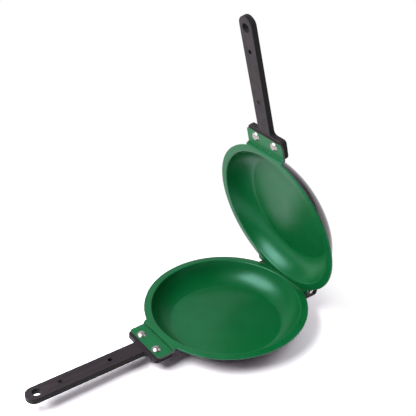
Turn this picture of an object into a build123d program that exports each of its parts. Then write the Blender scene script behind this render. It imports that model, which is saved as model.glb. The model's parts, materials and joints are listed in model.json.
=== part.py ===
from build123d import *
import math
import os

# Double-sided flip pan: two drawn pans of one form, hinged rim to rim, each with a riveted bar handle.
# The upper rim also has ears, which make its hinge side as wide as the hinge.
# Frame: origin on the floor under the centre of the lower pan, +X towards its handle, +Z up, mm.
# Every piece is drawn in its own pan's frame, rim plane at z = 0 and bowl below, then placed.

# Drawn pan
rim_r = 100.0            # outer radius of the flat rim
rim_w = 9.0              # width of the flat rim
wall_run = 23.0          # how far the wall leans out from floor to rim
bowl_depth = 25.0        # rim plane down to the cooking floor
wall_bulge = 4.2         # how far the wall bows out from its chord
sheet_t = 2.0            # aluminium sheet
lip_round = 2.0          # rolled-over inner edge of the rim
base_round = 7.0         # outside corner between base and wall
under_rim_round = 1.4    # outside corner between wall and rim

# Stepped tab that carries the handle
step_in = 2.0            # the rim stops this far inside its circle and steps down
step_run = 1.8           # how far the riser leans outwards
step_drop = 4.4          # rim plane down to the tab
tab_half = 31.3          # half width of the tab
tab_l = 21.5             # length of the tab from the step
tab_corner = 4.0         # rounded outer corners of the tab
notch_round = 1.0        # rounded inner corners where the tab leaves the rim

# Handle
base_l = 25.4            # length of the base plate
base_out = 3.4           # how far the base plate reaches past the tab
base_in = 1.2            # the base plate is this much narrower than the tab, each side
base_corner = 5.0        # rounded corners of the base plate
neck_round = 4.5         # sweep from the base plate into the bar
bar_half = 10.5          # half width of the bar
bar_t = 7.5              # thickness of the bar
bar_sunk = 1.3           # bar face below the tab face where they meet
bar_rise = 0.02          # rise of the bar per mm of length
bar_l = 147.3            # length of the bar, up to its round far end
bar_edge = 0.6           # rounded edges of the mating face
under_edge = 1.6         # rounded edges of the underside
tab_play = 1.2           # slot between the tab and the end of the bar
hang_in = 13.0           # hanging hole, from the far end
hang_r = 5.5
near_at = 43.5           # magnet nearer the pan, from the start of the bar
far_at = 106.0           # magnet nearer the far end
magnet_r = 2.5
magnet_t = 3.0
magnet_play = 0.05
deep_seat = 2.6          # a magnet set well below the face
flush_seat = 0.4         # a magnet set just below the face
nub_at = 18.3            # small rest nub under the neck, from the start of the bar
nub_r = 3.0
nub_h = 2.2

# Handle rivets
rivet_in = 7.8           # rivet centres, from the outer edge of the tab
rivet_y = 15.8
rivet_r = 2.5            # shank
rivet_play = 0.1
rivet_head_r = 5.9
rivet_head_h = 3.0
rivet_tail_r = 4.0
rivet_tail_h = 1.6
washer_r = 5.5
washer_t = 1.0

# Hinge
open_angle = 77.4        # as it stands half open, 0 is shut
rim_gap = 0.4            # between the two rims when shut
axis_in = 5.0            # pin, from the outer edge of the rim
axis_rise = 5.0          # pin above the lower rim plane
swing_play = 0.3         # least gap under the swinging rim
pin_r = 1.0
pin_play = 0.05
pin_head_r = 1.7
pin_head_h = 0.8
leaf_t = 1.0             # steel strip of the leaves
leaf_half = 47.5         # half width of the hinge
leaf_clear = 3.4         # the leaves stay this far outside the mouth of the bowl
finger_w = 5.2           # width of each lower finger
knuckle_w = 9.0          # width of each upper knuckle
finger_play = 0.3        # side play between fingers and knuckles
hook_run = 6.3           # from the pin back to where the fingers turn up
leaf_play = 0.4          # between an upper leaf and the eyes of the fingers
hinge_rivet_in = 2.8     # rivet centres, from the outer edge of the rim
hinge_rivet_r = 1.2
hinge_rivet_play = 0.05
hinge_rivet_head_r = 2.1
hinge_rivet_head_h = 0.9
hinge_rivet_tail_r = 2.0
hinge_rivet_tail_h = 0.8

# Sizes that follow
lip_r = rim_r - rim_w                # inner edge of the rim, where the wall starts
floor_r = lip_r - wall_run           # flat cooking floor
base_z = -bowl_depth - sheet_t
step_x = rim_r - step_in
tab_end = step_x + tab_l
tab_top = -step_drop
tab_under = tab_top - sheet_t
base_end = tab_end + base_out
base_start = base_end - base_l
base_half = tab_half - base_in
bar_top = tab_top - bar_sunk
base_under = bar_top - bar_t
bar_start = tab_end + tab_play
bar_end = bar_start + bar_l
near_x = bar_start + near_at
far_x = bar_start + far_at
hang_x = bar_end - hang_in
nub_x = bar_start + nub_at
rivet_x = tab_end - rivet_in
axis_x = rim_r - axis_in
hook_x = axis_x + hook_run
leaf_front_r = lip_r + leaf_clear
eye_r = pin_r + pin_play + leaf_t
upper_axis_z = rim_gap - axis_rise
trim_x = axis_x + math.sqrt((axis_rise - swing_play) ** 2 - upper_axis_z**2)
outer_finger = (leaf_half - finger_w, leaf_half)
knuckle = (outer_finger[0] - finger_play - knuckle_w, outer_finger[0] - finger_play)
inner_finger = (knuckle[0] - finger_play - finger_w, knuckle[0] - finger_play)
hinge_rivet_y = sum(knuckle) / 2
hinge_rivet_x = -math.sqrt((rim_r - hinge_rivet_in) ** 2 - hinge_rivet_y**2)
notch_x = math.sqrt(rim_r**2 - tab_half**2)
far = 2 * bar_end                    # beyond every piece, for cuts that run out
tiny = 0.01                          # for telling edges and corners apart
lying = math.cos(math.radians(25))   # a face whose normal leans less than this lies flat


def slab(plan, z0, z1):
    """A plan raised into a flat piece between two heights."""
    return extrude(Pos(0, 0, z0) * plan, z1 - z0)


def band(x0, x1, half):
    """A rectangle in plan, centred on the X axis."""
    return Pos((x0 + x1) / 2, 0) * Rectangle(x1 - x0, 2 * half)


def rod(radius, x, y, z0, z1):
    """An upright cylinder between two heights."""
    return Pos(x, y, (z0 + z1) / 2) * Cylinder(radius, z1 - z0)


def strip(section, y0, y1):
    """A section drawn in X and Z, carried from y0 to y1."""
    return Pos(0, y1, 0) * extrude(Plane.XZ * section, y1 - y0)


def round_corners(plan, radius, pick):
    """Round those corners of a plan that pick chooses."""
    return fillet(plan.vertices().filter_by(pick), radius)


def mirrored(piece):
    """The piece and its mirror image on the other side of the X axis."""
    return [piece, piece.mirror(Plane.XZ)]


def wall_arc(grow):
    """The bowed wall's arc, moved outwards by grow and cut to the faces that it meets."""
    start, end = Vector(floor_r, -bowl_depth), Vector(lip_r, 0)
    chord = end - start
    radius = (chord.length**2 / 4 + wall_bulge**2) / (2 * wall_bulge)
    inwards = Vector(-chord.Y, chord.X).normalized()
    centre = (start + end) / 2 + inwards * (radius - wall_bulge)
    radius += grow
    foot_z, neck_z = -bowl_depth - grow, -grow
    foot = (centre.X + math.sqrt(radius**2 - (foot_z - centre.Y) ** 2), foot_z)
    neck = (centre.X + math.sqrt(radius**2 - (neck_z - centre.Y) ** 2), neck_z)
    return foot, neck, radius


def rings(body, radius):
    """The body's circular edges of one radius."""
    return [e for e in body.edges().filter_by(GeomType.CIRCLE) if abs(e.radius - radius) < tiny]


def revolved(outline):
    """Spin a half section drawn in X and Z about the pan's axis."""
    return revolve(Plane.XZ * make_face(outline), Axis.Z)


def bowl_space():
    """The space inside the bowl, up to the rim plane."""
    foot, neck, radius = wall_arc(0)
    outline = [
        Line((0, foot[1]), foot),
        RadiusArc(foot, neck, -radius),
        Line(neck, (0, 0)),
        Line((0, 0), (0, foot[1])),
    ]
    return revolved(outline)


def drawn_body():
    """The outside of the bowl and the flat rim, still solid inside."""
    foot, neck, radius = wall_arc(sheet_t)
    outline = [
        Line((0, foot[1]), foot),
        RadiusArc(foot, neck, -radius),
        Line(neck, (rim_r, neck[1])),
        Line((rim_r, neck[1]), (rim_r, 0)),
        Line((rim_r, 0), (0, 0)),
        Line((0, 0), (0, foot[1])),
    ]
    body = revolved(outline)
    return fillet(rings(fillet(rings(body, foot[0]), base_round), neck[0]), under_rim_round)


def tab():
    """Stepped tab beyond the rim: a Z-bent strip with rounded outer corners."""
    riser_x = step_x + step_run
    section = Polyline(
        (lip_r, 0),
        (step_x, 0),
        (riser_x, tab_top),
        (tab_end, tab_top),
        (tab_end, tab_under),
        (riser_x - sheet_t, tab_under),
        (step_x - sheet_t, -sheet_t),
        (lip_r, -sheet_t),
        close=True,
    )
    bent = strip(make_face(section), -tab_half, tab_half)
    corners = bent.edges().filter_by(Axis.Z).group_by(Axis.X)[-1]
    return fillet(corners, tab_corner)


def pan(eared):
    """One drawn pan: bowl, rim cut straight along step and hinge, and stepped tab, with its rivet holes."""
    ears = slab(band(-trim_x, -floor_r, leaf_half), -sheet_t, 0)
    beyond_step = slab(band(step_x, far, tab_half), -sheet_t, 0)
    beyond_hinge = slab(band(-far, -trim_x, rim_r), -sheet_t, 0)
    body = drawn_body() - beyond_step - beyond_hinge + tab()
    if eared:
        body += ears
    body -= bowl_space()
    body = fillet(rings(body, lip_r), lip_round)
    body = fillet([e for e in body.edges().filter_by(Axis.Z) if abs(e.center().X - notch_x) < tiny], notch_round)
    for side in (-1, 1):
        body -= rod(rivet_r + rivet_play, rivet_x, side * rivet_y, tab_under, tab_top)
        body -= hinge_rivet_hole(side)
    return body


def hinge_rivet_hole(side):
    """A countersunk hole through rim and leaf."""
    x, y = hinge_rivet_x, side * hinge_rivet_y
    shank_r = hinge_rivet_r + hinge_rivet_play
    cone = Pos(x, y, -hinge_rivet_head_h / 2) * Cone(shank_r, hinge_rivet_head_r, hinge_rivet_head_h)
    return cone + rod(shank_r, x, y, -sheet_t - leaf_t, 0)


def bar_face(x):
    """Height of the bar's mating face at a distance from the pan."""
    return bar_top + bar_rise * (x - bar_start)


def handle(seats):
    """Moulded handle: base plate under the tab, swept into a slightly rising bar."""
    round_x = bar_end - bar_half
    bar_plan = band(bar_start, round_x, bar_half) + Pos(round_x, 0) * Circle(bar_half)
    base_plan = round_corners(band(base_start, base_end, base_half), base_corner, lambda v: True)
    whole_plan = round_corners(
        base_plan + bar_plan,
        neck_round,
        lambda v: abs(v.X - base_end) < tiny and abs(v.Y) < (bar_half + base_half) / 2,
    )
    side = Polyline(
        (base_start, tab_under),
        (bar_start, tab_under),
        (bar_start, bar_top),
        (bar_end, bar_face(bar_end)),
        (bar_end, bar_face(bar_end) - bar_t),
        (bar_start, base_under),
        (base_start, base_under),
        close=True,
    )
    body = strip(make_face(side), -base_half, base_half) & slab(whole_plan, base_under, 0)
    face_edges = body.faces().sort_by(Axis.Z)[-1].outer_wire().edges()
    body = fillet([e for e in face_edges if e.center().X > bar_start + tiny], bar_edge)
    under_faces = [f for f in body.faces() if f.normal_at().Z < -lying]
    fold = [e for e in under_faces[0].edges() if any(e.is_same(o) for o in under_faces[1].edges())]
    outline = [e for f in under_faces for e in f.outer_wire().edges() if not e.is_same(fold[0])]
    body = fillet(outline, under_edge)
    body += rod(nub_r, nub_x, 0, bar_face(nub_x) - bar_t - nub_h, bar_face(nub_x) - bar_t / 2)
    body -= rod(hang_r, hang_x, 0, base_under, 0)
    for x, seat in zip((near_x, far_x), seats):
        body -= rod(magnet_r + magnet_play, x, 0, bar_face(x) - seat - magnet_t, 0)
    for y in (-rivet_y, rivet_y):
        body -= rod(rivet_r + rivet_play, rivet_x, y, base_under, tab_under)
    return body


def magnets(seats):
    """Disc magnets in the bar, one deep and one nearly flush."""
    return [
        rod(magnet_r, x, 0, bar_face(x) - seat - magnet_t, bar_face(x) - seat)
        for x, seat in zip((near_x, far_x), seats)
    ]


def dome(radius, height, up):
    """A shallow round head standing on z = 0, or hanging from it."""
    ball_r = (radius**2 + height**2) / (2 * height)
    cap = Pos(0, 0, height - ball_r) * Sphere(ball_r) & slab(Circle(far), 0, height)
    return cap if up else Rot(180, 0, 0) * cap


def handle_rivet(side):
    """Domed rivet through tab, base plate and washer, closed over underneath."""
    foot = base_under - washer_t
    shank = rod(rivet_r, rivet_x, side * rivet_y, foot, tab_top)
    place = Pos(rivet_x, side * rivet_y, 0)
    head = place * Pos(0, 0, tab_top) * dome(rivet_head_r, rivet_head_h, True)
    tail = place * Pos(0, 0, foot) * dome(rivet_tail_r, rivet_tail_h, False)
    return shank + head + tail


def washer(side):
    """Plain washer under the base plate."""
    foot = base_under - washer_t
    ring = rod(washer_r, rivet_x, side * rivet_y, foot, base_under)
    return ring - rod(rivet_r + rivet_play, rivet_x, side * rivet_y, foot, base_under)


def hinge_rivet(side):
    """Flush rivet that holds a leaf under the rim."""
    x, y = hinge_rivet_x, side * hinge_rivet_y
    foot = -sheet_t - leaf_t
    cone = Cone(hinge_rivet_r, hinge_rivet_head_r - hinge_rivet_play, hinge_rivet_head_h)
    head = Pos(x, y, -hinge_rivet_head_h / 2) * cone
    tail = Pos(x, y, foot) * dome(hinge_rivet_tail_r, hinge_rivet_tail_h, False)
    return rod(hinge_rivet_r, x, y, foot, 0) + head + tail


def eye(z):
    """Section of a rolled eye round the pin."""
    return Pos(-axis_x, z) * (Circle(eye_r) - Circle(pin_r + pin_play))


def lower_leaf():
    """Steel leaf under the lower rim, with fingers that hook up and over to hold the pin."""
    mid_low = -sheet_t - leaf_t / 2
    mid_high = axis_rise + eye_r - leaf_t / 2
    mid_z, turn_r = (mid_low + mid_high) / 2, (mid_high - mid_low) / 2
    ring = Circle(turn_r + leaf_t / 2) - Circle(turn_r - leaf_t / 2)
    behind = Pos(-hook_x - far / 2, mid_z) * Rectangle(far, far)
    hook = Pos(-hook_x, mid_z) * ring & behind
    over = Pos(-(hook_x + axis_x) / 2, mid_high) * Rectangle(hook_x - axis_x, leaf_t)
    section = hook + over + eye(axis_rise)
    flat = band(-hook_x, -floor_r, leaf_half) - Circle(leaf_front_r)
    leaf = slab(flat, -sheet_t - leaf_t, -sheet_t)
    for y0, y1 in (inner_finger, outer_finger):
        for finger in mirrored(strip(section, y0, y1)):
            leaf += finger
    for side in (-1, 1):
        leaf -= hinge_rivet_hole(side)
    return leaf


def upper_leaf():
    """One short leaf with a rolled knuckle, notched round the two fingers beside it."""
    width = leaf_half - inner_finger[0]
    middle = Pos(-(axis_x + floor_r) / 2, inner_finger[0] + width / 2)
    flat = middle * Rectangle(axis_x - floor_r, width) - Circle(leaf_front_r)
    clear_x = axis_x - eye_r - leaf_play
    for y0, y1 in (inner_finger, outer_finger):
        low, high = y0 - finger_play, y1 + finger_play
        flat -= Pos(-(far + clear_x) / 2, (low + high) / 2) * Rectangle(far - clear_x, high - low)
    leaf = slab(flat, -sheet_t - leaf_t, -sheet_t)
    leaf += strip(eye(upper_axis_z), *knuckle)
    leaf -= strip(Pos(-axis_x, upper_axis_z) * Circle(pin_r + pin_play), *knuckle)
    return leaf - hinge_rivet_hole(1)


def pin():
    """One long pin with closed-over ends."""
    stem = Cylinder(pin_r, 2 * leaf_half)
    heads = [Pos(0, 0, s * (leaf_half + pin_head_h / 2)) * Cylinder(pin_head_r, pin_head_h) for s in (-1, 1)]
    return Pos(-axis_x, 0, axis_rise) * Rot(90, 0, 0) * (stem + heads)


def place_lower(piece):
    """From the pan's own frame to the lower pan, standing on the floor."""
    return Pos(0, 0, -base_z) * piece


def place_upper(piece):
    """From the pan's own frame to the upper pan: turned over, laid on, and swung open."""
    shut = Pos(0, 0, rim_gap) * Rot(180, 0, 0) * piece
    axis = Pos(-axis_x, 0, axis_rise)
    return place_lower(axis * Rot(0, -open_angle, 0) * axis.inverse() * shut)


def both_sides(make):
    """The same piece on both sides of the X axis."""
    return [make(-1), make(1)]


lower_seats = (deep_seat, flush_seat)
upper_seats = (flush_seat, deep_seat)
nodes = {
    "lower_pan": [place_lower(pan(eared=False))],
    "lower_handle": [place_lower(handle(lower_seats))],
    "lower_handle_magnets": [place_lower(p) for p in magnets(lower_seats)],
    "lower_handle_rivets": [place_lower(p) for p in both_sides(handle_rivet)],
    "lower_handle_washers": [place_lower(p) for p in both_sides(washer)],
    "lower_hinge_leaf": [place_lower(lower_leaf())],
    "lower_hinge_rivets": [place_lower(p) for p in both_sides(hinge_rivet)],
    "hinge_pin": [place_lower(pin())],
    "upper_pan": [place_upper(pan(eared=True))],
    "upper_handle": [place_upper(handle(upper_seats))],
    "upper_handle_magnets": [place_upper(p) for p in magnets(upper_seats)],
    "upper_handle_rivets": [place_upper(p) for p in both_sides(handle_rivet)],
    "upper_handle_washers": [place_upper(p) for p in both_sides(washer)],
    "upper_hinge_leaves": [place_upper(p) for p in mirrored(upper_leaf())],
    "upper_hinge_rivets": [place_upper(p) for p in both_sides(hinge_rivet)],
}

os.makedirs("parts", exist_ok=True)
for name, pieces in nodes.items():
    export_step(Compound(children=pieces), f"parts/{name}.step")
    print(name, [round(p.volume, 1) for p in pieces])
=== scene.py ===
import json
import math
import bpy
import bmesh
from mathutils import Matrix, Vector


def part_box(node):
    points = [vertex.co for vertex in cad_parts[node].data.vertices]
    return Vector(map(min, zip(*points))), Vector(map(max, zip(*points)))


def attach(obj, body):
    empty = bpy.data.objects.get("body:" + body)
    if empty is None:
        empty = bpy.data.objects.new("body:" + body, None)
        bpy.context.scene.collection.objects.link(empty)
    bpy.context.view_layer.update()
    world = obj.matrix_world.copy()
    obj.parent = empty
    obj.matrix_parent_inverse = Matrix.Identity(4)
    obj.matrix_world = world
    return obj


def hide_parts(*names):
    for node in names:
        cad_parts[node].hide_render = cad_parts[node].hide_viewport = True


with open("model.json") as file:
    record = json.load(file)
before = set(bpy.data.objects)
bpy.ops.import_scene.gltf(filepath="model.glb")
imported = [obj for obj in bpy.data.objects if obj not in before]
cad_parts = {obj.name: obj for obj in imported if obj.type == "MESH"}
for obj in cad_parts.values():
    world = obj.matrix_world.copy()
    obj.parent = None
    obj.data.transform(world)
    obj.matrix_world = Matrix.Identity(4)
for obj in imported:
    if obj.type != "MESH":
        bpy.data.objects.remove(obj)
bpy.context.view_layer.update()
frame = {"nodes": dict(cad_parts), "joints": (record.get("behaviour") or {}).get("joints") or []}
mm = 0.001
hinge = frame["joints"][0]
pinPlace = Vector(hinge["pos_m"])
shutAngle = math.radians(hinge["range_deg"][0])  # from the photographed pose to shut
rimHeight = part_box("lower_pan")[1].z  # top of the lower rim above the floor


# Shared helpers

def linear(hexColour):
    # sRGB hex to the linear values that a shader takes
    parts = [int(hexColour[i:i + 2], 16) / 255 for i in (1, 3, 5)]
    return tuple(c / 12.92 if c <= 0.04045 else ((c + 0.055) / 1.055) ** 2.4 for c in parts) + (1,)


def addNode(tree, kind, settings=None, links=None):
    # one node, with plain settings or socket values, and what feeds its sockets
    node = tree.nodes.new(kind)
    for name, value in (settings or {}).items():
        if isinstance(name, int) or name in node.inputs:
            node.inputs[name].default_value = value
        else:
            setattr(node, name, value)
    for name, source in (links or {}).items():
        tree.links.new(source, node.inputs[name])
    return node


# Finishes: colour, roughness and relief each follow clouds of noise of a real size in mm

cloudy = {
    "detail": 3,  # octaves, where a finish gives no other number
    "roughness": 0.55,
    "middle": (0.35, 0.65),  # where most of the noise lies, stretched to the whole of a range
}


def clouds(tree, p):
    # noise with blobs about p["size"] mm across, drawn out along Y where p["along"] is below 1
    place = addNode(tree, "ShaderNodeTexCoord").outputs["Object"]
    drawn = addNode(tree, "ShaderNodeMapping", {"Scale": (1, p.get("along", 1), 1)}, {"Vector": place})
    settings = {"Scale": 1 / (p["size"] * mm), "Detail": p.get("detail", cloudy["detail"]),
                "Roughness": cloudy["roughness"]}
    return addNode(tree, "ShaderNodeTexNoise", settings, {"Vector": drawn.outputs["Vector"]}).outputs["Fac"]


def blended(tree, p):
    # a colour or a number that goes from p["low"] to p["high"] with the clouds
    isColour = isinstance(p["low"], str)
    low, high = (0, 1) if isColour else (p["low"], p["high"])
    start, end = cloudy["middle"]
    share = addNode(tree, "ShaderNodeMapRange", {1: start, 2: end, 3: low, 4: high}, {0: clouds(tree, p)})
    if not isColour:
        return share.outputs[0]
    ends = {"data_type": "RGBA", 6: linear(p["low"]), 7: linear(p["high"])}
    return addNode(tree, "ShaderNodeMix", ends, {0: share.outputs[0]}).outputs[2]


def newFinish(s):
    # a finish from its settings; those under "plain" are the same all over
    material = bpy.data.materials.new(s["name"])
    material.use_nodes = True
    tree = material.node_tree
    shader = tree.nodes["Principled BSDF"]
    for name, value in s["plain"].items():
        shader.inputs[name].default_value = value
    tree.links.new(blended(tree, s["colour"]), shader.inputs["Base Color"])
    tree.links.new(blended(tree, s["roughness"]), shader.inputs["Roughness"])
    relief = s["relief"]
    depth = {"Distance": relief["height"] * mm, "Strength": relief["strength"]}
    bump = addNode(tree, "ShaderNodeBump", depth, {"Height": clouds(tree, relief)})
    tree.links.new(bump.outputs["Normal"], shader.inputs["Normal"])
    return material


# Green ceramic (sol-gel) non-stick coating, sprayed on drawn aluminium and baked: a smooth satin gloss with
# broad soft highlights, a slight orange peel, and a faint cloudiness and speckle of the pigment.
ceramicCoat = {
    "name": "greenCeramicCoat",
    "colour": {"size": 26, "low": "#037236", "high": "#05793D"},
    # the speck is coarser than real pigment, so that it shows
    "speck": {"size": 2.2, "detail": 2, "low": "#767676", "high": "#8A8A8A"},
    "speckShare": 0.5,
    "roughness": {"size": 40, "low": 0.29, "high": 0.37},
    # real orange peel is about 1 mm, drawn coarser so that it shows
    "relief": {"size": 3.0, "detail": 1, "height": 0.05, "strength": 0.35},
    "plain": {
        "IOR": 1.6,
        "Specular Tint": linear("#B4FFF2"),  # matched to the bluish green highlights in the photograph
    },
}


def coatFinish(s):
    # the coating with its pigment speck laid over the colour
    material = newFinish(s)
    tree = material.node_tree
    colourSocket = tree.nodes["Principled BSDF"].inputs["Base Color"]
    laidOver = {"data_type": "RGBA", "blend_type": "OVERLAY", 0: s["speckShare"]}
    base = colourSocket.links[0].from_socket
    speck = addNode(tree, "ShaderNodeMix", laidOver, {6: base, 7: blended(tree, s["speck"])})
    tree.links.new(speck.outputs[2], colourSocket)
    return material


# The same coating, darkened in the bend below the step: painted shade in the crease.
creaseShadeCoat = {
    "name": "creaseShadeCeramicCoat",
    "colour": {"size": 8, "low": "#03431B", "high": "#04501F"},
    "roughness": {"size": 8, "low": 0.3, "high": 0.4},
    "relief": ceramicCoat["relief"],
    "plain": ceramicCoat["plain"],
}

# High-heat enamel on the outside, sprayed and baked: a smooth mauve grey with a fine metallic grain, which
# mirrors the bright studio softly.
bakedEnamel = {
    "name": "mauveGreyEnamel",
    "colour": {"size": 30, "low": "#4A4148", "high": "#554B53"},
    "roughness": {"size": 18, "low": 0.16, "high": 0.24},
    # metallic grain, coarser than the real 0.1 mm flake so that it shows
    "relief": {"size": 1.0, "detail": 1, "height": 0.03, "strength": 0.3},
    "plain": {"Metallic": 0.25},
}

# Black phenolic resin, compression moulded in a spark-finished tool: charcoal with a purple brown cast and a
# fine grain, greyer on worn edges, and matt on the sides, where painted shade makes it near black.
phenolicResin = {
    "name": "phenolicHandle",
    "colour": {"size": 14, "low": "#1B141A", "high": "#241B22"},
    "roughness": {"size": 9, "low": 0.46, "high": 0.58},
    # real spark grain is about 0.2 mm, drawn coarser so that it shows
    "relief": {"size": 0.9, "detail": 2, "height": 0.06, "strength": 0.4},
    "plain": {
        "IOR": 1.55,
        "Specular IOR Level": 0.35,  # below the usual 0.5, matched to the dull handles in the photograph
    },
    "edgeColour": "#2C232A",
    "edgeSharpness": (0.52, 0.6),  # pointiness at which an edge starts to look worn, and is fully worn
    # painted shade: the colour laid on the sides that look along Y
    "sideShadeColour": "#0C090A",
    "sideRoughness": 0.8,
}


def handleFinish(s):
    # the resin with its worn edges, and with duller sides that carry painted shade, as in the photograph
    material = newFinish(s)
    tree = material.node_tree
    shader = tree.nodes["Principled BSDF"]
    base = shader.inputs["Base Color"].links[0].from_socket
    plain = shader.inputs["Roughness"].links[0].from_socket
    start, full = s["edgeSharpness"]
    pointed = addNode(tree, "ShaderNodeNewGeometry").outputs["Pointiness"]
    edge = addNode(tree, "ShaderNodeMapRange", {1: start, 2: full, 3: 0, 4: 1}, {0: pointed}).outputs[0]
    wear = {"data_type": "RGBA", 7: linear(s["edgeColour"])}
    worn = addNode(tree, "ShaderNodeMix", wear, {0: edge, 6: base})
    facing = addNode(tree, "ShaderNodeTexCoord").outputs["Normal"]
    across = addNode(tree, "ShaderNodeSeparateXYZ", None, {0: facing}).outputs["Y"]
    # 1 on faces that look along Y, the handle's sides, which get painted shade
    shadedSidesMask = addNode(tree, "ShaderNodeMath", {"operation": "ABSOLUTE"}, {0: across}).outputs[0]
    # painted shade: the sides are mixed towards near black
    shade = {"data_type": "RGBA", 7: linear(s["sideShadeColour"])}
    paintedSideShade = addNode(tree, "ShaderNodeMix", shade, {0: shadedSidesMask, 6: worn.outputs[2]})
    matt = addNode(tree, "ShaderNodeMix", {3: s["sideRoughness"]}, {0: shadedSidesMask, 2: plain})
    tree.links.new(paintedSideShade.outputs[2], shader.inputs["Base Color"])
    tree.links.new(matt.outputs[0], shader.inputs["Roughness"])
    return material


# Rivets of aluminium wire, cold headed and tumbled: bright, slightly soft reflections with fine handling
# marks.
tumbledAluminium = {
    "name": "tumbledAluminium",
    "colour": {"size": 1.4, "detail": 4, "low": "#B4AFAD", "high": "#CFCAC8"},
    "roughness": {"size": 1.4, "detail": 4, "low": 0.28, "high": 0.38},
    "relief": {"size": 2.4, "detail": 1, "height": 0.04, "strength": 0.2},
    "plain": {"Metallic": 1},
}

# Hinge strip of mild steel, cold rolled, stamped and blackened in oil: dark metal with rolling marks and dull
# patches.
blackenedSteel = {
    "name": "blackenedSteelStrip",
    "colour": {"size": 5, "low": "#3E3838", "high": "#5D5654"},
    "roughness": {"size": 5, "low": 0.26, "high": 0.42},
    "relief": {"size": 0.7, "detail": 2, "along": 0.08, "height": 0.04, "strength": 0.4},
    "plain": {"Metallic": 1},
}

# Hinge pin of stainless wire, drawn through a die and cropped: bright, with fine lines along its length.
drawnWire = {
    "name": "drawnStainlessWire",
    "colour": {"size": 0.4, "detail": 2, "along": 0.05, "low": "#BDBBB8", "high": "#DAD8D5"},
    "roughness": {"size": 0.4, "detail": 2, "along": 0.05, "low": 0.16, "high": 0.28},
    "relief": {"size": 0.4, "detail": 2, "along": 0.05, "height": 0.02, "strength": 0.4},
    "plain": {"Metallic": 1},
}

# Sintered ferrite magnet discs, ground and left bare: dark grey with a dull metallic gleam and small pits.
ferriteMagnet = {
    "name": "groundFerriteMagnet",
    "colour": {"size": 0.8, "low": "#1F1B1D", "high": "#3A3333"},
    "roughness": {"size": 0.8, "low": 0.3, "high": 0.45},
    "relief": {"size": 0.8, "height": 0.03, "strength": 0.4},
    "plain": {"Metallic": 1},
}

# Stamped steel washers, zinc plated: pale bluish metal with a faint cloudy bloom.
zincWasher = {
    "name": "zincPlatedWasher",
    "colour": {"size": 3, "low": "#A9ACAF", "high": "#C4C7C9"},
    "roughness": {"size": 3, "low": 0.3, "high": 0.44},
    "relief": {"size": 0.8, "detail": 2, "height": 0.03, "strength": 0.3},
    "plain": {"Metallic": 1},
}

finishes = {
    "coat": coatFinish(ceramicCoat),
    # darker copy of the coat, for the painted shade in the crease below the step
    "creaseShade": newFinish(creaseShadeCoat),
    "enamel": newFinish(bakedEnamel),
    "resin": handleFinish(phenolicResin),
    "aluminium": newFinish(tumbledAluminium),
    "strip": newFinish(blackenedSteel),
    "wire": newFinish(drawnWire),
    "magnet": newFinish(ferriteMagnet),
    "zinc": newFinish(zincWasher),
}
print("finishes", len(finishes))


# Placing: every piece is drawn in its own pan's frame in mm, rim plane at z = 0, bowl below

rimGap = 0.4 * mm  # between the two rims when shut
lowerPlace = Matrix.Translation((0, 0, rimHeight)) @ Matrix.Scale(mm, 4)
swing = Matrix.Translation(pinPlace) @ Matrix.Rotation(shutAngle, 4, "Y") @ Matrix.Translation(-pinPlace)
turnedOver = Matrix.Translation((0, 0, rimHeight + rimGap)) @ Matrix.Rotation(math.pi, 4, "X")
upperPlace = swing @ turnedOver @ Matrix.Scale(mm, 4)
sides = {"lower": lowerPlace, "upper": upperPlace}


def addObject(name, mesh, place, body, materials, replaced):
    # a piece of the object: placed, finished, riding on its body, and shown in place of its CAD node
    mesh.transform(place)
    piece = bpy.data.objects.new(name, mesh)
    bpy.context.scene.collection.objects.link(piece)
    for material in materials:
        mesh.materials.append(material)
    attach(piece, body)
    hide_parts(replaced)
    return piece


# Drawn pans

panSheet = {
    "rim": 100.0,  # outer radius of the flat rim
    "lip": 91.0,  # inner edge of the rim
    "floor": 68.0,  # flat cooking floor
    "depth": 25.0,
    "bulge": 4.2,  # how far the wall bows out from its chord
    "sheet": 2.0,
    "creaseRound": 7.0,  # soft crease round the floor
    "lipRound": 2.0,
    "baseRound": 7.0,
    "underRimRound": 1.4,
    "trim": 95.96,  # the rim is cut straight here, behind the pin
    "earHalf": 47.5,  # half width of the ears that the upper rim has along the hinge
    "step": 98.0,  # the rim ends here and steps down to the tab
    "riserRun": 1.8,
    "drop": 4.4,
    "creaseShadeFrom": 0.45,  # share of the riser above the painted crease shade
    "tabEnd": 119.5,
    "tabHalf": 31.3,
    "tabCorner": 4.0,
    "notchRound": 1.0,  # inner corners where the tab leaves the rim
    "edgeRound": 0.45,  # deburred outer edges
    "edgeSegments": 3,
    "edgeAngle": 50,  # degrees, from which an edge is deburred
    "crispAngle": 40,  # degrees, from which an edge is shaded crisp
    "circleSteps": 112,  # columns round the half circle
    "tabSteps": 20,  # columns across half of the tab
    "notchSteps": 4,
    "earSteps": 4,  # columns along the end of an ear
    "hingeSteps": 16,  # columns along half of the straight cut at the hinge
    "floorSteps": 12,  # rows from the centre out
    "creaseSteps": 6,
    "wallSteps": 20,
    "lipSteps": 8,
    "rimShares": (0.3, 0.65, 1),  # rows across the flat rim
    "tabRows": 8,  # rows from the riser to the end of the tab
}


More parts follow.
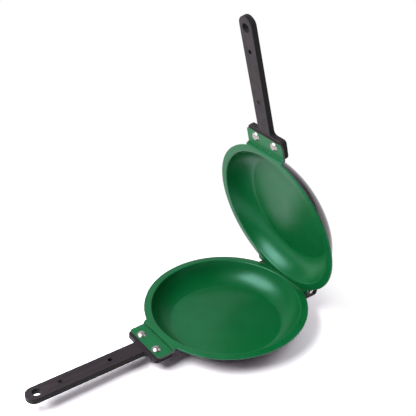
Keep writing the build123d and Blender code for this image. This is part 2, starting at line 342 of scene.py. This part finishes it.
def bowlProfile(s, grow, lowRound, highRound):
    # half section from the centre out to where the flat rim starts, moved outwards by grow
    chordX, chordZ = s["lip"] - s["floor"], s["depth"]
    chord = math.hypot(chordX, chordZ)
    wall = (chord ** 2 / 4 + s["bulge"] ** 2) / (2 * s["bulge"])
    centreX = (s["floor"] + s["lip"]) / 2 - chordZ / chord * (wall - s["bulge"])
    centreZ = -s["depth"] / 2 + chordX / chord * (wall - s["bulge"])
    wall += grow

    def corner(planeZ, radius, side):
        # centre of the rounding between a level plane and the wall, and its first and last angle
        z = planeZ + side * radius
        reach = wall - side * radius
        x = centreX + math.sqrt(reach ** 2 - (z - centreZ) ** 2)
        towards = math.atan2(z - centreZ, x - centreX)
        return x, z, towards

    lowX, lowZ, lowTurn = corner(-s["depth"] - grow, lowRound, 1)
    highX, highZ, highTurn = corner(-grow, highRound, -1)
    points = [(lowX * i / s["floorSteps"], -s["depth"] - grow) for i in range(1, s["floorSteps"])]
    for i in range(s["creaseSteps"] + 1):
        angle = -math.pi / 2 + (lowTurn + math.pi / 2) * i / s["creaseSteps"]
        points.append((lowX + lowRound * math.cos(angle), lowZ + lowRound * math.sin(angle)))
    for i in range(1, s["wallSteps"]):
        angle = lowTurn + (highTurn - lowTurn) * i / s["wallSteps"]
        points.append((centreX + wall * math.cos(angle), centreZ + wall * math.sin(angle)))
    for i in range(s["lipSteps"] + 1):
        angle = highTurn + math.pi + (math.pi / 2 - highTurn - math.pi) * i / s["lipSteps"]
        points.append((highX + highRound * math.cos(angle), highZ + highRound * math.sin(angle)))
    return points


def rimOutline(s, eared):
    # half of the rim's plan, from the middle of the tab to the middle of the hinge, tab columns first
    half = [(s["step"], s["tabHalf"] * i / s["tabSteps"]) for i in range(s["tabSteps"] + 1)]
    notchY = s["tabHalf"] + s["notchRound"]
    notchX = math.sqrt((s["rim"] + s["notchRound"]) ** 2 - notchY ** 2)
    start = math.atan2(notchY, notchX)
    for i in range(s["notchSteps"] + 1):
        angle = -math.pi / 2 - (math.pi / 2 - start) * i / s["notchSteps"]
        half.append((notchX + s["notchRound"] * math.cos(angle), notchY + s["notchRound"] * math.sin(angle)))
    end = math.pi - math.asin(s["earHalf"] / s["rim"]) if eared else math.acos(-s["trim"] / s["rim"])
    for i in range(1, s["circleSteps"] + 1):
        angle = start + (end - start) * i / s["circleSteps"]
        half.append((s["rim"] * math.cos(angle), s["rim"] * math.sin(angle)))
    lastX, cutHalf = half[-1]
    if eared:
        for i in range(1, s["earSteps"] + 1):
            half.append((lastX + (-s["trim"] - lastX) * i / s["earSteps"], cutHalf))
    half += [(-s["trim"], cutHalf * (1 - i / s["hingeSteps"])) for i in range(1, s["hingeSteps"] + 1)]
    return half


def tabReach(s, y):
    # where the tab ends at a distance from its middle line
    inner = s["tabHalf"] - s["tabCorner"]
    if abs(y) <= inner:
        return s["tabEnd"]
    return s["tabEnd"] - s["tabCorner"] + math.sqrt(max(0, s["tabCorner"] ** 2 - (abs(y) - inner) ** 2))


def panMesh(name, s, eared):
    # one sheet: top and underside as two skins that share their outline, closed along the cut edge
    half = rimOutline(s, eared)
    outline = half + [(x, -y) for x, y in reversed(half[1:-1])]
    count = len(outline)
    tabColumns = [i % count for i in range(-s["tabSteps"], s["tabSteps"] + 1)]
    mesh = bmesh.new()

    def skin(profile, z, ends, material, flip):
        centre = mesh.verts.new((0, 0, profile[0][1]))
        rings = []
        for r, height in profile:
            rings.append([mesh.verts.new((r * x / math.hypot(x, y), r * y / math.hypot(x, y), height))
                          for x, y in outline])
        last = profile[-1][0]
        for share in s["rimShares"]:
            ring = []
            for (x, y), (endX, endY) in zip(outline, ends):
                start = Vector((last * x / math.hypot(x, y), last * y / math.hypot(x, y), z))
                ring.append(mesh.verts.new(start.lerp(Vector((endX, endY, z)), share)))
            rings.append(ring)
        faces = []
        for i in range(count):
            j = (i + 1) % count
            faces.append([centre, rings[0][i], rings[0][j]])
            for inner, outer in zip(rings, rings[1:]):
                faces.append([inner[i], outer[i], outer[j], inner[j]])
        for face in faces:
            mesh.faces.new(face[::-1] if flip else face).material_index = material
        return rings[-1]

    def tabSkin(xTop, z, riserFoot, footZ, ring, material, flip):
        # the riser, whose lower row takes the painted crease shade on top, and the flat of the tab, column by
        # column
        columns = [[ring[i]] for i in tabColumns]
        for column, i in zip(columns, tabColumns):
            y = outline[i][1]
            for share in (s["creaseShadeFrom"], 1):
                x = xTop + (riserFoot - xTop) * share
                column.append(mesh.verts.new((x, y, z + (footZ - z) * share)))
            end = tabReach(s, y)
            for k in range(1, s["tabRows"] + 1):
                column.append(mesh.verts.new((riserFoot + (end - riserFoot) * k / s["tabRows"], y, footZ)))
        for one, other in zip(columns, columns[1:]):
            for k in range(len(one) - 1):
                face = [one[k], one[k + 1], other[k + 1], other[k]]
                # painted shade on the top of the riser's lower row
                creaseShade = k == 1 and not flip
                mesh.faces.new(face[::-1] if flip else face).material_index = 2 if creaseShade else material
        return columns

    underEnds = list(outline)
    for i in tabColumns:
        underEnds[i] = (outline[i][0] - s["sheet"], outline[i][1])
    top = skin(bowlProfile(s, 0, s["creaseRound"], s["lipRound"]), 0, outline, 0, False)
    sheet = s["sheet"]
    under = skin(bowlProfile(s, sheet, s["baseRound"], s["underRimRound"]), -sheet, underEnds, 1, True)
    riserFoot = s["step"] + s["riserRun"]
    topTab = tabSkin(s["step"], 0, riserFoot, -s["drop"], top, 0, False)
    underTab = tabSkin(s["step"] - sheet, -sheet, riserFoot - sheet, -s["drop"] - sheet, under, 1, True)

    first, last = tabColumns[0], tabColumns[-1]
    shoulder = {i: mesh.verts.new((s["step"], outline[i][1], -s["sheet"])) for i in (first, last)}
    for i in range(count):
        j = (i + 1) % count
        if i in tabColumns and j in tabColumns:
            continue
        low, lowNext = shoulder.get(i, under[i]), shoulder.get(j, under[j])
        mesh.faces.new([top[i], low, lowNext, top[j]])
    after, before = (last + 1) % count, (first - 1) % count
    mesh.faces.new([under[last], under[after], shoulder[last]]).material_index = 1
    mesh.faces.new([under[before], under[first], shoulder[first]]).material_index = 1
    tabSides = ((topTab[0], underTab[0], first, False), (topTab[-1], underTab[-1], last, True))
    for topColumn, underColumn, i, flip in tabSides:
        lip = [topColumn[0], topColumn[1], underColumn[1], underColumn[0], shoulder[i]]
        mesh.faces.new(lip[::-1] if flip else lip)
        for k in range(1, len(topColumn) - 1):
            face = [topColumn[k], topColumn[k + 1], underColumn[k + 1], underColumn[k]]
            mesh.faces.new(face[::-1] if flip else face).material_index = 1
    for k in range(len(topTab) - 1):
        end = [topTab[k][-1], underTab[k][-1], underTab[k + 1][-1], topTab[k + 1][-1]]
        mesh.faces.new(end).material_index = 1  # the cut edge keeps the dark spray of the outside
    bmesh.ops.recalc_face_normals(mesh, faces=mesh.faces[:])
    data = bpy.data.meshes.new(name)
    mesh.to_mesh(data)
    mesh.free()
    return data


def smoothShaded(piece, angle):
    # smooth shading, with faces that meet at more than the angle kept crisp
    for polygon in piece.data.polygons:
        polygon.use_smooth = True
    piece.data.set_sharp_from_angle(angle=math.radians(angle))


def applyModifiers(piece):
    bpy.context.view_layer.update()
    graph = bpy.context.evaluated_depsgraph_get()
    done = bpy.data.meshes.new_from_object(piece.evaluated_get(graph))
    piece.modifiers.clear()
    piece.data = done


panFinishes = [finishes["coat"], finishes["enamel"], finishes["creaseShade"]]
for side, place in sides.items():
    sheetMesh = panMesh(side + "PanSheet", panSheet, side == "upper")
    pan = addObject(side + "PanSheet", sheetMesh, place, side, panFinishes, side + "_pan")
    rounding = pan.modifiers.new("edges", "BEVEL")
    rounding.width = panSheet["edgeRound"] * mm
    rounding.segments = panSheet["edgeSegments"]
    rounding.limit_method = "ANGLE"
    rounding.angle_limit = math.radians(panSheet["edgeAngle"])
    applyModifiers(pan)
    smoothShaded(pan, panSheet["crispAngle"])
print("pans")


# Hinge rivets: countersunk in the rim, sprayed over with the coat, peened on the leaf's far side

hingeRivet = {
    "fromEdge": 2.8,  # centres, from the outer edge of the rim
    "aside": 37.5,
    "head": 2.05,
    "crown": 0.12,  # how far the peened head stands above the rim
    "sink": 0.9,
    "shank": 1.2,
    "grip": 3.0,  # sheet and leaf together
    "tail": 2.0,
    "tailHigh": 0.8,
    "around": 28,
    "crownRows": 4,
    "tailRows": 4,
    "crispAngle": 40,
}


def turned(mesh, profile, x, y, around, material):
    # a turned piece: profile points (radius, height) from one tip to the other
    rings = []
    for r, z in profile:
        if r == 0:
            rings.append([mesh.verts.new((x, y, z))] * around)
            continue
        angles = [2 * math.pi * i / around for i in range(around)]
        rings.append([mesh.verts.new((x + r * math.cos(a), y + r * math.sin(a), z)) for a in angles])
    for k, (low, high) in enumerate(zip(rings, rings[1:])):
        for i in range(around):
            j = (i + 1) % around
            corners = list(dict.fromkeys([low[i], low[j], high[j], high[i]]))
            mesh.faces.new(corners).material_index = material(k)


def rivetProfile(s):
    # from the middle of the crown down to the middle of the peened tail
    crownShares = [i / s["crownRows"] for i in range(s["crownRows"] + 1)]
    crown = [(s["head"] * share, s["crown"] * (1 - share ** 2)) for share in crownShares]
    foot = -s["grip"]
    turns = [math.pi / 2 * i / s["tailRows"] for i in range(s["tailRows"])]
    tail = [(s["tail"] * math.cos(turn), foot - s["tailHigh"] * math.sin(turn)) for turn in turns]
    return crown + [(s["shank"], -s["sink"]), (s["shank"], foot)] + tail + [(0, foot - s["tailHigh"])]


def sprayedThenBare(row):
    # the coat covers the crown and its underside, the rest is bare metal
    return 0 if row <= hingeRivet["crownRows"] else 1


for side, place in sides.items():
    mesh = bmesh.new()
    for y in (-hingeRivet["aside"], hingeRivet["aside"]):
        x = -math.sqrt((panSheet["rim"] - hingeRivet["fromEdge"]) ** 2 - y ** 2)
        turned(mesh, rivetProfile(hingeRivet), x, y, hingeRivet["around"], sprayedThenBare)
    bmesh.ops.recalc_face_normals(mesh, faces=mesh.faces[:])
    data = bpy.data.meshes.new(side + "HingeRivets")
    mesh.to_mesh(data)
    mesh.free()
    rivetFinishes = [finishes["coat"], finishes["aluminium"]]
    piece = addObject(side + "HingeRivets", data, place, side, rivetFinishes, side + "_hinge_rivets")
    smoothShaded(piece, hingeRivet["crispAngle"])
print("hinge rivets")


# Parts whose construction solid already has the right shape keep it and take a finish

finishOf = {
    "handle": "resin",
    "handle_magnets": "magnet",
    "handle_rivets": "aluminium",
    "handle_washers": "zinc",
    "hinge_leaf": "strip",
    "hinge_leaves": "strip",
    "hinge_pin": "wire",
}
plainCrispAngle = 32  # degrees, from which an edge of these is shaded crisp
for name, node in frame["nodes"].items():
    kind = name.removeprefix("lower_").removeprefix("upper_")
    if kind not in finishOf:
        continue
    node.data.materials.clear()
    node.data.materials.append(finishes[finishOf[kind]])
    smoothShaded(node, plainCrispAngle)
print("finishes on the plain nodes")


# Floor, lights and surroundings

studio = {
    "floorSize": 12.0,  # m
    "floorColour": "#E3E1E5",  # white paper, for the light that it throws back
    "floorSeen": 1.75,  # how much brighter it is seen than it is lit, so that the paper clips to white
    "whiteFrom": 0.01,  # m outside the lower pan's plan from which the paper is overexposed
    "whiteBy": 0.07,  # m outside it where the paper is fully white
    "panReach": panSheet["rim"] * mm,
    "barFrom": 0.09,  # m, the lower handle's middle line from here
    "barTo": 0.257,
    "barHalf": 0.012,
    "backdrop": 6,  # degrees above the horizon up to which mirrors and glass see the white backdrop
    "ambient": 0.04,
    "ambientColour": "#F6F0F8",
    "fill": {"azimuth": -122, "elevation": 24, "strength": 0.68, "inner": 15, "outer": 60},  # soft window
    "aim": (-0.04, 0, 0.08),  # m, where the lamps point
    "lampDistance": 0.85,  # m
    "lights": [
        {"name": "keySoftbox", "azimuth": -14, "elevation": 46, "size": (0.64, 0.5), "watts": 8.6},
        {"name": "backSoftbox", "azimuth": 150, "elevation": 48, "size": (0.6, 0.6), "watts": 2.4},
    ],
}


def direction(azimuth, elevation):
    turn, rise = math.radians(azimuth), math.radians(elevation)
    return Vector((math.cos(rise) * math.cos(turn), math.cos(rise) * math.sin(turn), math.sin(rise)))


def seenDirectly(tree):
    # 1 for rays from the camera, from a glossy surface or through glass, 0 for light that falls on things;
    # then 1 for the camera's rays alone
    path = addNode(tree, "ShaderNodeLightPath")
    either = addNode(tree, "ShaderNodeMath", {"operation": "MAXIMUM"},
                     {0: path.outputs["Is Camera Ray"], 1: path.outputs["Is Glossy Ray"]}).outputs[0]
    seen = addNode(tree, "ShaderNodeMath", {"operation": "MAXIMUM"},
                   {0: either, 1: path.outputs["Is Transmission Ray"]}).outputs[0]
    return seen, path.outputs["Is Camera Ray"]


def awayFromObject(tree):
    # 0 under the lower pan and its handle, rising to 1 outside their plan
    place = addNode(tree, "ShaderNodeNewGeometry").outputs["Position"]
    fromPan = addNode(tree, "ShaderNodeVectorMath", {"operation": "LENGTH"}, {0: place}).outputs["Value"]
    barEnds = {"MINIMUM": studio["barTo"], "MAXIMUM": studio["barFrom"]}
    nearest = place
    for operation, x in barEnds.items():
        end = {"operation": operation, 1: (x, 0, 0)}
        nearest = addNode(tree, "ShaderNodeVectorMath", end, {0: nearest}).outputs[0]
    flat = {"operation": "MULTIPLY", 1: (1, 0, 0)}  # onto the bar's middle line on the floor
    onBar = addNode(tree, "ShaderNodeVectorMath", flat, {0: nearest}).outputs[0]
    apart = addNode(tree, "ShaderNodeVectorMath", {"operation": "DISTANCE"}, {0: place, 1: onBar})
    fromBar = apart.outputs["Value"]
    pastPan = addNode(tree, "ShaderNodeMath", {"operation": "SUBTRACT", 1: studio["panReach"]}, {0: fromPan})
    pastBar = addNode(tree, "ShaderNodeMath", {"operation": "SUBTRACT", 1: studio["barHalf"]}, {0: fromBar})
    past = {0: pastPan.outputs[0], 1: pastBar.outputs[0]}
    outside = addNode(tree, "ShaderNodeMath", {"operation": "MINIMUM"}, past)
    smooth = {"interpolation_type": "SMOOTHSTEP", 1: studio["whiteFrom"], 2: studio["whiteBy"]}
    return addNode(tree, "ShaderNodeMapRange", smooth, {0: outside.outputs[0]}).outputs[0]


def floorFinish():
    # white studio paper, matt: it takes the soft shadow near the object and is overexposed to white around it
    material = bpy.data.materials.new("studioPaper")
    material.use_nodes = True
    tree = material.node_tree
    tree.nodes.clear()
    seen = seenDirectly(tree)[0]
    plain = linear(studio["floorColour"])
    bright = tuple(c / plain[0] * studio["floorSeen"] for c in plain[:3]) + (1,)
    colour = addNode(tree, "ShaderNodeMix", {"data_type": "RGBA", 6: plain, 7: bright}, {0: seen}).outputs[2]
    paper = addNode(tree, "ShaderNodeBsdfDiffuse", None, {"Color": colour})
    glow = addNode(tree, "ShaderNodeEmission", {"Color": (1, 1, 1, 1), "Strength": 1})
    share = addNode(tree, "ShaderNodeMath", {"operation": "MULTIPLY"}, {0: seen, 1: awayFromObject(tree)})
    sources = {0: share.outputs[0], 1: paper.outputs[0], 2: glow.outputs[0]}
    mix = addNode(tree, "ShaderNodeMixShader", None, sources)
    addNode(tree, "ShaderNodeOutputMaterial", None, {"Surface": mix.outputs[0]})
    return material


def addFloor():
    half = studio["floorSize"] / 2
    mesh = bmesh.new()
    corners = [mesh.verts.new((x * half, y * half, 0)) for x, y in ((-1, -1), (1, -1), (1, 1), (-1, 1))]
    mesh.faces.new(corners)
    data = bpy.data.meshes.new("floor")
    mesh.to_mesh(data)
    mesh.free()
    data.materials.append(floorFinish())
    floor = bpy.data.objects.new("floor", data)
    bpy.context.scene.collection.objects.link(floor)


def addLight(s):
    lamp = bpy.data.lights.new(s["name"], "AREA")
    lamp.shape = "RECTANGLE"
    lamp.size, lamp.size_y = s["size"]
    lamp.energy = s["watts"]
    light = bpy.data.objects.new(s["name"], lamp)
    bpy.context.scene.collection.objects.link(light)
    towards = direction(s["azimuth"], s["elevation"])
    light.location = Vector(studio["aim"]) + towards * studio["lampDistance"]
    light.rotation_euler = towards.to_track_quat("Z", "Y").to_euler()


def addWorld():
    # dim studio with one broad soft window; the backdrop is white to the camera all round, and to glossy
    # surfaces and glass as far up as it reaches
    world = bpy.data.worlds.new("studio")
    bpy.context.scene.world = world
    world.use_nodes = True
    tree = world.node_tree
    tree.nodes.clear()
    window = studio["fill"]
    ray = addNode(tree, "ShaderNodeTexCoord").outputs["Generated"]
    middle = direction(window["azimuth"], window["elevation"])
    facing = addNode(tree, "ShaderNodeVectorMath", {"operation": "DOT_PRODUCT", 1: middle}, {0: ray})
    outer, inner = (math.cos(math.radians(window[edge])) for edge in ("outer", "inner"))
    glow = {"interpolation_type": "SMOOTHSTEP", 1: outer, 2: inner, 3: studio["ambient"],
            4: window["strength"]}
    lit = addNode(tree, "ShaderNodeMapRange", glow, {0: facing.outputs["Value"]}).outputs[0]
    height = addNode(tree, "ShaderNodeSeparateXYZ", None, {0: ray}).outputs[2]
    top = math.sin(math.radians(studio["backdrop"]))
    low = addNode(tree, "ShaderNodeMath", {"operation": "LESS_THAN", 1: top}, {0: height}).outputs[0]
    seen, camera = seenDirectly(tree)
    seenLow = addNode(tree, "ShaderNodeMath", {"operation": "MULTIPLY"}, {0: low, 1: seen}).outputs[0]
    shown = addNode(tree, "ShaderNodeMath", {"operation": "MAXIMUM"}, {0: seenLow, 1: camera}).outputs[0]
    ambient = {"Color": linear(studio["ambientColour"])}
    plain = addNode(tree, "ShaderNodeBackground", ambient, {"Strength": lit})
    white = addNode(tree, "ShaderNodeBackground", {"Color": (1, 1, 1, 1), "Strength": 1})
    mix = addNode(tree, "ShaderNodeMixShader", None, {0: shown, 1: plain.outputs[0], 2: white.outputs[0]})
    addNode(tree, "ShaderNodeOutputWorld", None, {"Surface": mix.outputs[0]})


addFloor()
addWorld()
for settings in studio["lights"]:
    addLight(settings)
bpy.context.scene.view_settings.view_transform = "Standard"
print("studio")


# Camera

view = {
    "azimuth": 53.54,  # degrees from +X towards +Y
    "elevation": 31.698,
    "roll": 0.493,
    "target": (-0.0179, -0.0629, 0.1261),  # m, in the middle of the frame
    "distance": 1.03741,
    "lens": 73.486,  # mm
    "sensor": 36.0,
}


def addCamera(s):
    back = direction(s["azimuth"], s["elevation"])
    right = (-back).cross(Vector((0, 0, 1))).normalized()
    up = right.cross(-back)
    roll = math.radians(s["roll"])
    right, up = right * math.cos(roll) + up * math.sin(roll), up * math.cos(roll) - right * math.sin(roll)
    data = bpy.data.cameras.new("camera")
    data.lens = s["lens"]
    data.sensor_width = s["sensor"]
    camera = bpy.data.objects.new("camera", data)
    bpy.context.scene.collection.objects.link(camera)
    turn = Matrix((right, up, back)).transposed().to_4x4()
    camera.matrix_world = Matrix.Translation(Vector(s["target"]) + back * s["distance"]) @ turn
    bpy.context.scene.camera = camera


addCamera(view)
print("camera")
